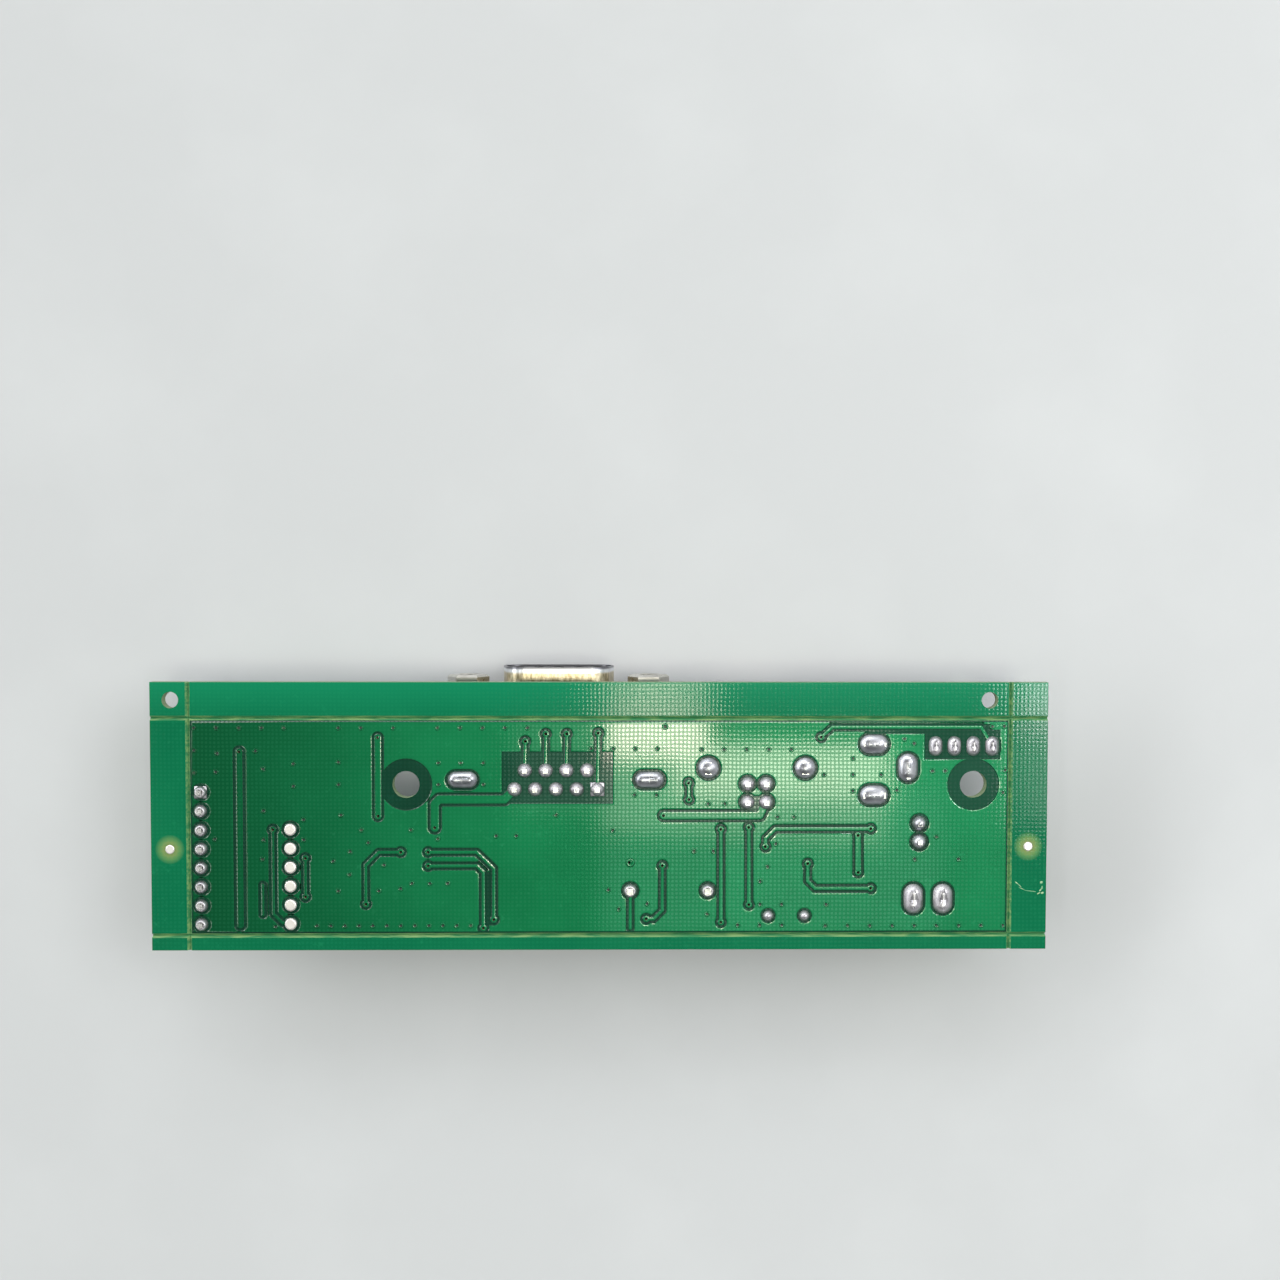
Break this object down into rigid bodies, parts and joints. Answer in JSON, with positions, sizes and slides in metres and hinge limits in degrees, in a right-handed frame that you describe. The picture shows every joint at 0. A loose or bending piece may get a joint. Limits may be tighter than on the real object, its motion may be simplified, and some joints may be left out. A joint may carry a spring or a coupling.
{
  "type": "interface board",
  "caption": "Printed interface board in its snap-off panel, solder side up, with a serial connector, a square data socket, a power jack and pin headers underneath.",
  "frame": {"origin": "on the floor, under the middle of the whole assembly's box", "axes": "+X along the board with the main header at -X, +Y out of the serial connector's mouth, +Z out of the solder side"},
  "size_m": [0.12, 0.0378, 0.015],
  "materials": {
    "laminate": "woven glass laminate under green solder mask",
    "solder": "bright tin solder",
    "nickel": "nickel-plated steel",
    "gold": "gold flash on brass",
    "tinned_brass": "tin plate on brass",
    "steel": "drawn steel",
    "black_plastic": "moulded",
    "white_plastic": "moulded nylon",
    "epoxy": "moulded epoxy",
    "can": "sleeved aluminium",
    "rubber": "moulded seal",
    "chip_ceramic": "fired ceramic",
    "resistor": "glazed ceramic"
  },
  "bodies": {
    "root": {"circuit_board": "laminate", "serial_solder": "solder", "bracket_solder": "solder", "main_header_solder": "solder", "spare_hole_solder": "solder", "side_header_solder": "solder", "data_socket_solder": "solder", "socket_post_solder": "solder", "power_jack_solder": "solder", "supply_header_solder": "solder", "capacitor_solder": "solder", "crystal_solder": "solder", "diode_solder": "solder", "serial_shell": "nickel", "serial_brackets": "nickel", "jackscrews": "nickel", "jackscrew_nuts": "nickel", "serial_insulator": "black_plastic", "serial_body": "black_plastic", "serial_contacts_long": "gold", "serial_contacts_short": "gold", "data_socket_shell": "nickel", "data_socket_core": "white_plastic", "data_socket_contacts_upper": "gold", "data_socket_contacts_lower": "gold", "power_jack_housing": "black_plastic", "power_jack_pin": "tinned_brass", "power_jack_spring": "tinned_brass", "power_jack_switch": "tinned_brass", "main_header_base": "white_plastic", "main_header_pins": "tinned_brass", "side_header_base": "black_plastic", "side_header_pins": "tinned_brass", "supply_header_base": "white_plastic", "supply_header_pins": "tinned_brass", "capacitor_can": "can", "capacitor_seal": "rubber", "capacitor_leads": "tinned_brass", "crystal_can": "steel", "crystal_base": "steel", "crystal_leads": "tinned_brass", "diode_body": "epoxy", "diode_leads": "tinned_brass", "controller_body": "epoxy", "controller_leads": "tinned_brass", "transceiver_body": "epoxy", "transceiver_leads": "tinned_brass", "driver_body": "epoxy", "driver_leads": "tinned_brass", "regulator_body": "epoxy", "regulator_leads": "tinned_brass", "regulator_tab": "tinned_brass", "chip_capacitors": "chip_ceramic", "chip_resistors": "resistor", "chip_end_caps": "solder"}
  },
  "joints": []
}
